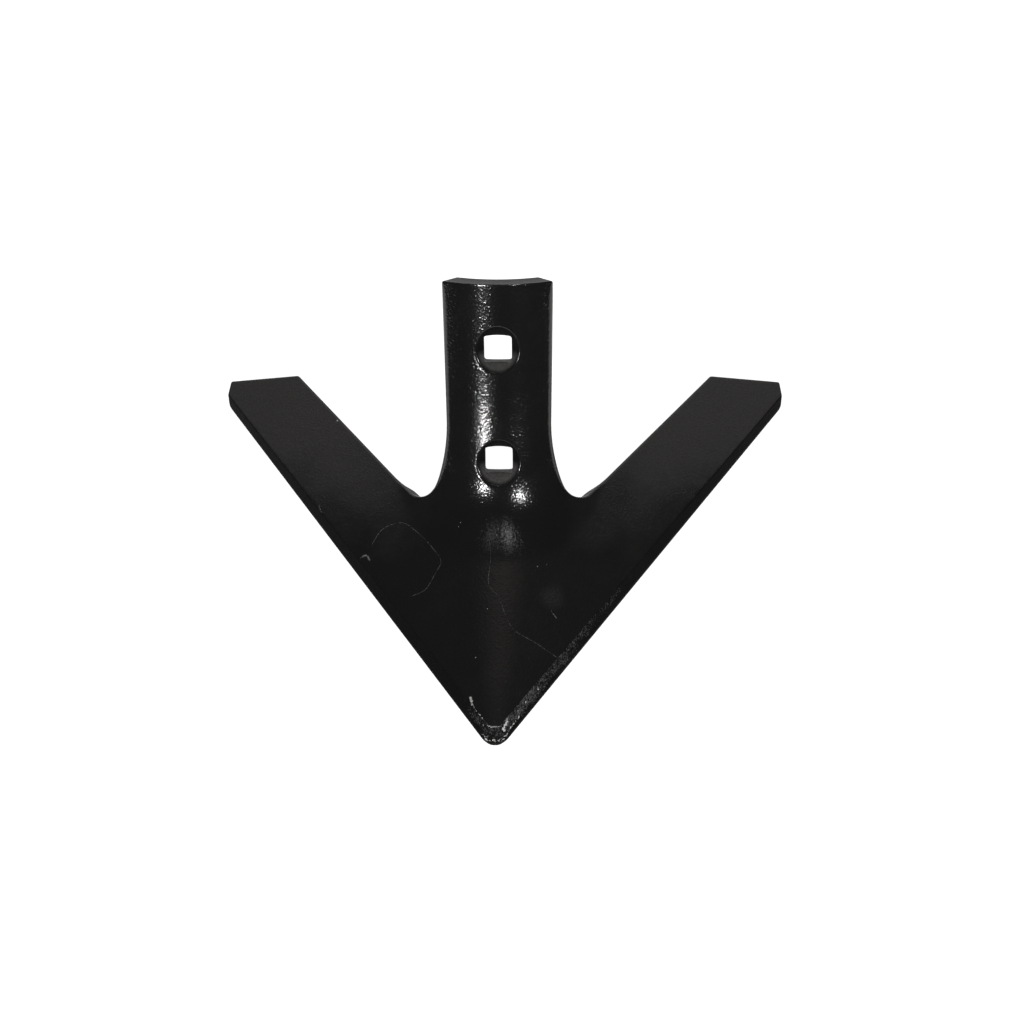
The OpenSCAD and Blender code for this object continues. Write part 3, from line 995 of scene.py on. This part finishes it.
def noise(tree, place, pattern):
    """Socket of one of the patterns named above."""
    scale, detail, roughness = pattern
    inputs = {"Vector": place, "Scale": scale, "Detail": detail, "Roughness": roughness}
    return add_node(tree, "ShaderNodeTexNoise", inputs).outputs["Fac"]


def spread(tree, value, old, new):
    """Socket of a value whose range is moved to a new one, and held within it."""
    inputs = {"Value": value, "From Min": old[0], "From Max": old[1], "To Min": new[0], "To Max": new[1]}
    return add_node(tree, "ShaderNodeMapRange", inputs).outputs["Result"]


def combined(tree, operation, first, second):
    """Socket of two values put together by a sum, a product or the like."""
    return add_node(tree, "ShaderNodeMath", {0: first, 1: second}, operation=operation).outputs[0]


def mixed(tree, share, first, second):
    """Socket of a colour between two, where a share of 0 gives the first."""
    inputs = {MIX_SHARE: share, MIX_FIRST: first, MIX_SECOND: second}
    return add_node(tree, "ShaderNodeMix", inputs, data_type="RGBA").outputs[MIX_RESULT]


def bump(tree, height, distance, normal=None):
    """Socket of a surface direction, with heights of a size in metres."""
    inputs = {"Height": height, "Distance": distance, "Strength": 1.0}
    if normal is not None:
        inputs["Normal"] = normal
    return add_node(tree, "ShaderNodeBump", inputs).outputs["Normal"]


def ramp(tree, value, stops):
    """Socket of a colour that follows a value from the first of two stops to the second."""
    node = add_node(tree, "ShaderNodeValToRGB", {"Fac": value})
    for element, (position, colour) in zip(node.color_ramp.elements, stops):
        element.position = position
        element.color = (*colour, 1)
    return node.outputs["Color"]


def paint_colour(tree, place, grain):
    """Sockets of the paint's colour before wear, and of how dull it is."""
    cloud = noise(tree, place, CLOUD)
    patchy = spread(tree, cloud, PATTERN_SPAN, PATCHINESS)
    dull = spread(tree, combined(tree, "ADD", attribute(tree, "dull"), patchy), DULL_SPAN, WHOLE)
    glossy_colour = ramp(tree, cloud, GLOSSY_BLACKS)
    dull_colour = ramp(tree, grain, DULL_BLACKS)
    return mixed(tree, dull, glossy_colour, dull_colour), dull


def paint_material():
    """Black paint: glossy in the middle and dull towards the tips, with grain, dust, scratches and specks."""
    material, tree = new_material("black_paint")
    place = surface_place(tree)
    grain = noise(tree, place, GRAIN)
    peel = noise(tree, place, PEEL)
    paint, dull = paint_colour(tree, place, noise(tree, place, FINE))
    mark = attribute(tree, "mark")
    grain_break = spread(tree, grain, SCRATCH_GRAIN_SPAN, SCRATCH_GRAIN)
    peel_break = spread(tree, peel, SCRATCH_PEEL_SPAN, SCRATCH_PEEL)
    broken = combined(tree, "MULTIPLY", combined(tree, "MULTIPLY", mark, grain_break), peel_break)
    bare = spread(tree, broken, SCRATCH_SPAN, WHOLE)
    metal = ramp(tree, mark, SCRATCH_METALS)
    paint_rough = spread(tree, dull, WHOLE, PAINT_ROUGHNESS)
    metal_rough = spread(tree, bare, WHOLE, SCRATCH_ROUGHNESS)
    cells = add_node(tree, "ShaderNodeTexVoronoi", {"Vector": place, "Scale": NIB_SCALE})
    nibs = spread(tree, cells.outputs["Distance"], NIB_SPAN, NIB_RISE)
    normal = bump(tree, grain, GRAIN_HEIGHT, bump(tree, peel, PEEL_HEIGHT))
    show(tree, "ShaderNodeBsdfPrincipled", {
        "Base Color": mixed(tree, bare, paint, metal),
        "Roughness": combined(tree, "MAXIMUM", paint_rough, metal_rough),
        "Normal": bump(tree, nibs, NIB_HEIGHT, normal),
    })
    return material


def bevel_material():
    """Ground bevel under thin dull paint, which is chipped off round the nose and along the right edge."""
    material, tree = new_material("ground_bevel")
    place = surface_place(tree)
    fine = noise(tree, place, FINE)
    flake = noise(tree, place, FLAKE)
    cluster = spread(tree, noise(tree, place, CLUSTER), CLUSTER_SPAN, CLUSTERING)
    chip = combined(tree, "ADD", attribute(tree, "chip"), combined(tree, "ADD", flake, cluster))
    chip = spread(tree, chip, CHIP_SPAN, CHIP_BARENESS)
    mark_break = spread(tree, flake, PATTERN_SPAN, BEVEL_MARK_BREAKS)
    mark = combined(tree, "ADD", attribute(tree, "mark"), mark_break)
    mark = spread(tree, mark, BEVEL_MARK_SPAN, WHOLE)
    bare = combined(tree, "MAXIMUM", chip, mark)
    paint, _ = paint_colour(tree, place, fine)
    metal = mixed(tree, mark, ramp(tree, fine, GROUND_GREYS), BRIGHT_METAL)
    show(tree, "ShaderNodeBsdfPrincipled", {
        "Base Color": mixed(tree, bare, paint, metal),
        "Metallic": mark,
        "Roughness": BEVEL_ROUGHNESS,
        "Specular IOR Level": BEVEL_MIRRORING,
        "Normal": bump(tree, flake, FLAKE_HEIGHT),
    })
    return material


def matt_material():
    """Thin matt paint in the bolt holes and on the wings' rims, with painted light on the holes' lower side:
    a lighter grey where light falls into the countersinks.
    """
    material, tree = new_material("matt_paint")
    grain = noise(tree, surface_place(tree), MATT_GRAIN)
    # Share of grey: dull paint on the wings' rims, and painted light on the holes' lower side, broken up by
    # grain
    wear = spread(tree, grain, MATT_GREY_BREAK_SPAN, MATT_GREY_BREAKS)
    worn = combined(tree, "MULTIPLY", attribute(tree, "dull"), wear)
    show(tree, "ShaderNodeBsdfPrincipled", {
        "Base Color": mixed(tree, worn, MATT_BLACK, DULL_AND_PAINTED_LIGHT_GREY),
        "Roughness": MATT_ROUGHNESS,
        "Specular IOR Level": MATT_MIRRORING,
        "Normal": bump(tree, grain, MATT_HEIGHT),
    })
    return material


def end_material():
    """Sheared end of the stem: dull grey and grainy."""
    material, tree = new_material("sheared_end")
    grain = noise(tree, surface_place(tree), SHEAR_GRAIN)
    show(tree, "ShaderNodeBsdfPrincipled", {
        "Base Color": ramp(tree, grain, SHEARED_GREYS),
        "Roughness": END_ROUGHNESS,
        "Normal": bump(tree, grain, SHEAR_HEIGHT),
    })
    return material


def floor_material():
    """Pale floor that looks white, and that the sweep mirrors as white, with the sweep's shadow kept."""
    material, tree = new_material("pale_floor")
    path = add_node(tree, "ShaderNodeLightPath").outputs
    seen = combined(tree, "MAXIMUM", path["Is Camera Ray"], path["Is Glossy Ray"])
    seen = combined(tree, "MAXIMUM", seen, path["Is Transmission Ray"])
    plain = add_node(tree, "ShaderNodeBsdfDiffuse", {"Color": FLOOR_GREY})
    light = add_node(tree, "ShaderNodeEmission", {"Strength": combined(tree, "MULTIPLY", seen, FLOOR_GLOW)})
    show(tree, "ShaderNodeAddShader", {0: plain.outputs[0], 1: light.outputs[0]})
    return material


def direction(azimuth, elevation):
    """Direction from the sweep: azimuth 0 is to its front and 90 to its right."""
    a, e = rad(azimuth), rad(elevation)
    return np.array([math.sin(a) * math.cos(e), -math.cos(a) * math.cos(e), math.sin(e)])


def add_lamp(name, shape, width, length, radiance, matrix, colour):
    """A soft lamp of a size in metres and an even brightness, which shines down its own third axis."""
    data = bpy.data.lights.new(name, "AREA")
    data.shape = shape
    data.size = width
    data.size_y = length
    area = width * length * (math.pi / 4 if shape == "ELLIPSE" else 1)
    data.energy = radiance * math.pi * area
    data.color = colour
    lamp = bpy.data.objects.new(name, data)
    lamp.matrix_world = matrix
    lamp.visible_camera = False
    bpy.context.scene.collection.objects.link(lamp)


def standing_lamp(name, azimuth, elevation, distance, width, height, radiance):
    """A round lamp that faces the sweep."""
    out = direction(azimuth, elevation)
    right = unit(np.cross([0, 0, 1], out))
    axes = Matrix((right, np.cross(out, right), out)).transposed().to_4x4()
    matrix = Matrix.Translation(TARGET + out * distance) @ axes
    add_lamp(name, "ELLIPSE", width, height, radiance, matrix, WHITE)


def hanging_lamp(name, shape, x, y, width, length, radiance, colour):
    """A lamp that hangs over the sweep and shines straight down."""
    add_lamp(name, shape, width, length, radiance, Matrix.Translation((x, y, HANGING_HEIGHT)), colour)


def photo_camera():
    """Camera at the photograph's viewing angle, for a square picture."""
    roll = rad(CAMERA_ROLL)
    back = direction(CAMERA_AZIMUTH, CAMERA_ELEVATION)
    level = np.array([math.cos(rad(CAMERA_AZIMUTH)), math.sin(rad(CAMERA_AZIMUTH)), 0])
    upright = np.cross(back, level)
    right = math.cos(roll) * level + math.sin(roll) * upright
    up = -math.sin(roll) * level + math.cos(roll) * upright
    data = bpy.data.cameras.new("photo_camera")
    data.sensor_width = SENSOR_W
    data.lens = SENSOR_W * CAMERA_FOCAL / PICTURE_W
    data.shift_x = (PICTURE_W / 2 - CAMERA_MIDDLE[0]) / PICTURE_W
    data.shift_y = (CAMERA_MIDDLE[1] - PICTURE_W / 2) / PICTURE_W
    data.clip_start, data.clip_end = CAMERA_RANGE
    camera = bpy.data.objects.new("photo_camera", data)
    axes = Matrix((right, up, back)).transposed().to_4x4()
    camera.matrix_world = Matrix.Translation(TARGET + back * CAMERA_DISTANCE) @ axes
    bpy.context.scene.collection.objects.link(camera)
    bpy.context.scene.camera = camera


def make_floor():
    """A plain floor under the sweep."""
    w = FLOOR_HALF_W
    data = bpy.data.meshes.new("floor")
    data.from_pydata([(-w, -w, 0), (w, -w, 0), (w, w, 0), (-w, w, 0)], [], [(0, 1, 2, 3)])
    data.materials.append(floor_material())
    floor = bpy.data.objects.new("floor", data)
    bpy.context.scene.collection.objects.link(floor)


def make_room():
    """An even dim light from all sides."""
    world = bpy.data.worlds.new("room")
    world.use_nodes = True
    room_light = world.node_tree.nodes["Background"]
    room_light.inputs["Color"].default_value = (1, 1, 1, 1)
    room_light.inputs["Strength"].default_value = ROOM_LIGHT
    bpy.context.scene.world = world


points, faces, kinds, looks = build_plate()
mesh = bpy.data.meshes.new("pressed_plate")
mesh.from_pydata((points * MM).tolist(), [], faces.tolist())
mesh.validate()
plate = bpy.data.objects.new("pressed_plate", mesh)
bpy.context.scene.collection.objects.link(plate)
for polygon in mesh.polygons:
    polygon.use_smooth = True
for name, values in looks.items():
    mesh.attributes.new(name, "FLOAT", "POINT").data.foreach_set("value", values)
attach(plate, "root")
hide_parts("sweep")

mesh.materials.append(paint_material())
mesh.materials.append(end_material())
mesh.materials.append(bevel_material())
mesh.materials.append(matt_material())
mesh.polygons.foreach_set("material_index", kinds.astype(np.int32))
mesh.update()

make_floor()
make_room()
photo_camera()
for lamp in STANDING_LAMPS:
    standing_lamp(*lamp)
for lamp in HANGING_LAMPS:
    hanging_lamp(*lamp)
bpy.context.scene.view_settings.view_transform = "Standard"
